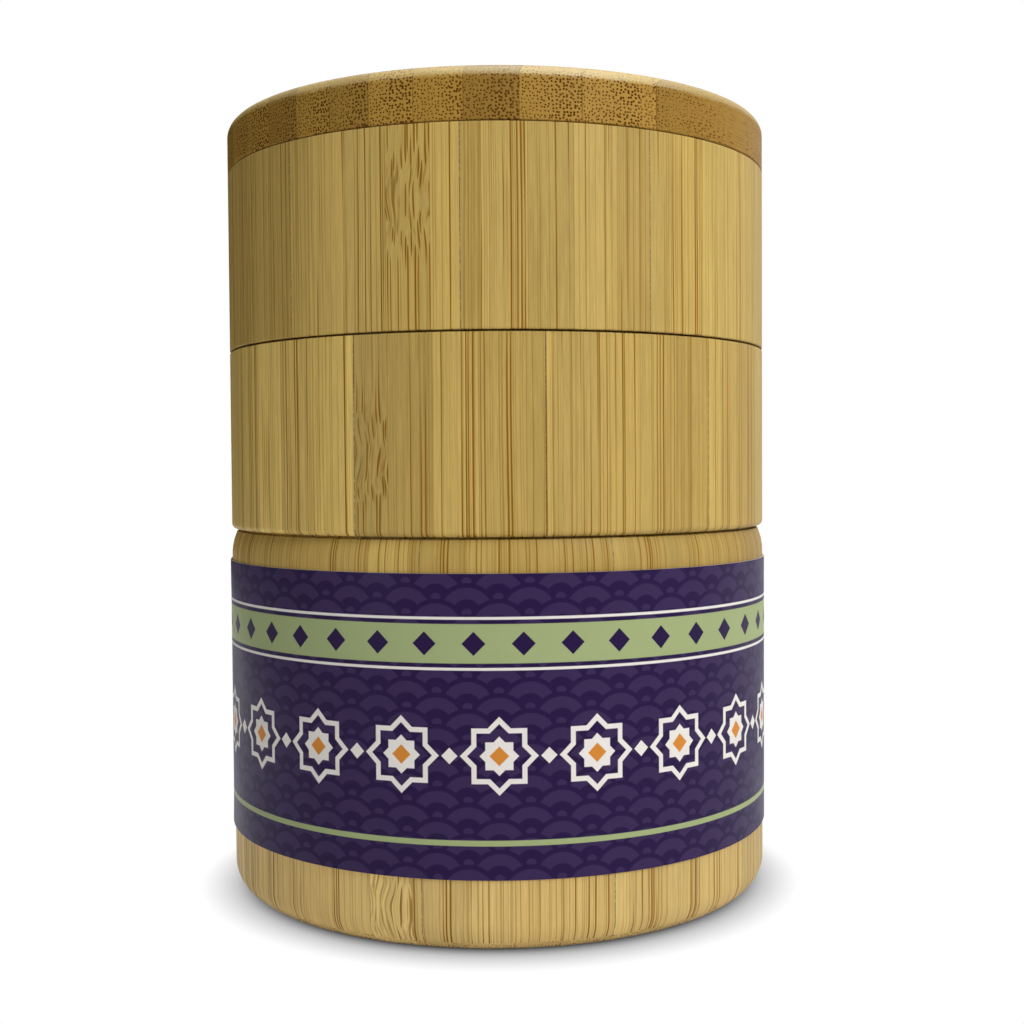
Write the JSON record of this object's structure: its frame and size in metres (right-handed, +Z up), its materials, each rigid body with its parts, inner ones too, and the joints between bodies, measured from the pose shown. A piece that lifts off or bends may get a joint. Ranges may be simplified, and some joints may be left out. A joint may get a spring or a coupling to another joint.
{
  "type": "tiered salt box",
  "caption": "Round bamboo salt box: stacked trays and a lid that swivel on pins at the back and close by magnets, with a printed paper sleeve round the deep base.",
  "frame": {"origin": "centre of the underside", "axes": "+Z is up; the front faces -Y, and the swivel pins stand at the back, at +Y"},
  "size_m": [0.1006, 0.1006, 0.14],
  "materials": {
    "bamboo_wall": "oiled satin",
    "bamboo_lid": "oiled satin",
    "bamboo_floor": "oiled satin",
    "steel_pin": "ground",
    "nickel_magnet": "nickel plated",
    "printed_paper": "gloss coated"
  },
  "bodies": {
    "base": {"base_stave_01": "bamboo_wall", "base_stave_02": "bamboo_wall", "base_stave_03": "bamboo_wall", "base_stave_04": "bamboo_wall", "base_stave_05": "bamboo_wall", "base_stave_06": "bamboo_wall", "base_stave_07": "bamboo_wall", "base_stave_08": "bamboo_wall", "base_stave_09": "bamboo_wall", "base_stave_10": "bamboo_wall", "base_floor": "bamboo_floor", "base_rim_magnet": "nickel_magnet", "paper_sleeve": "printed_paper"},
    "middle_tray": {"middle_tray_stave_01": "bamboo_wall", "middle_tray_stave_02": "bamboo_wall", "middle_tray_stave_03": "bamboo_wall", "middle_tray_stave_04": "bamboo_wall", "middle_tray_stave_05": "bamboo_wall", "middle_tray_stave_06": "bamboo_wall", "middle_tray_stave_07": "bamboo_wall", "middle_tray_stave_08": "bamboo_wall", "middle_tray_stave_09": "bamboo_wall", "middle_tray_stave_10": "bamboo_wall", "middle_tray_floor": "bamboo_floor", "middle_tray_rim_magnet": "nickel_magnet", "middle_tray_underside_magnet": "nickel_magnet", "middle_tray_pivot_pin": "steel_pin"},
    "top_tray": {"top_tray_stave_01": "bamboo_wall", "top_tray_stave_02": "bamboo_wall", "top_tray_stave_03": "bamboo_wall", "top_tray_stave_04": "bamboo_wall", "top_tray_stave_05": "bamboo_wall", "top_tray_stave_06": "bamboo_wall", "top_tray_stave_07": "bamboo_wall", "top_tray_stave_08": "bamboo_wall", "top_tray_stave_09": "bamboo_wall", "top_tray_stave_10": "bamboo_wall", "top_tray_floor": "bamboo_floor", "top_tray_rim_magnet": "nickel_magnet", "top_tray_underside_magnet": "nickel_magnet", "top_tray_pivot_pin": "steel_pin"},
    "lid": {"lid_lamella_01": "bamboo_lid", "lid_lamella_02": "bamboo_lid", "lid_lamella_03": "bamboo_lid", "lid_lamella_04": "bamboo_lid", "lid_lamella_05": "bamboo_lid", "lid_lamella_06": "bamboo_lid", "lid_lamella_07": "bamboo_lid", "lid_lamella_08": "bamboo_lid", "lid_lamella_09": "bamboo_lid", "lid_lamella_10": "bamboo_lid", "lid_lamella_11": "bamboo_lid", "lid_lamella_12": "bamboo_lid", "lid_lamella_13": "bamboo_lid", "lid_lamella_14": "bamboo_lid", "lid_underside_magnet": "nickel_magnet", "lid_pivot_pin": "steel_pin"}
  },
  "joints": [
    {"name": "middle_tray_swivel", "type": "hinge", "parent": "base", "child": "middle_tray", "pos_m": [0, 0.045, 0.066], "axis": [0, 0, 1], "continuous": true},
    {"name": "top_tray_swivel", "type": "hinge", "parent": "middle_tray", "child": "top_tray", "pos_m": [0, 0.045, 0.0985], "axis": [0, 0, 1], "continuous": true},
    {"name": "lid_swivel", "type": "hinge", "parent": "top_tray", "child": "lid", "pos_m": [0, 0.045, 0.131], "axis": [0, 0, 1], "continuous": true}
  ]
}
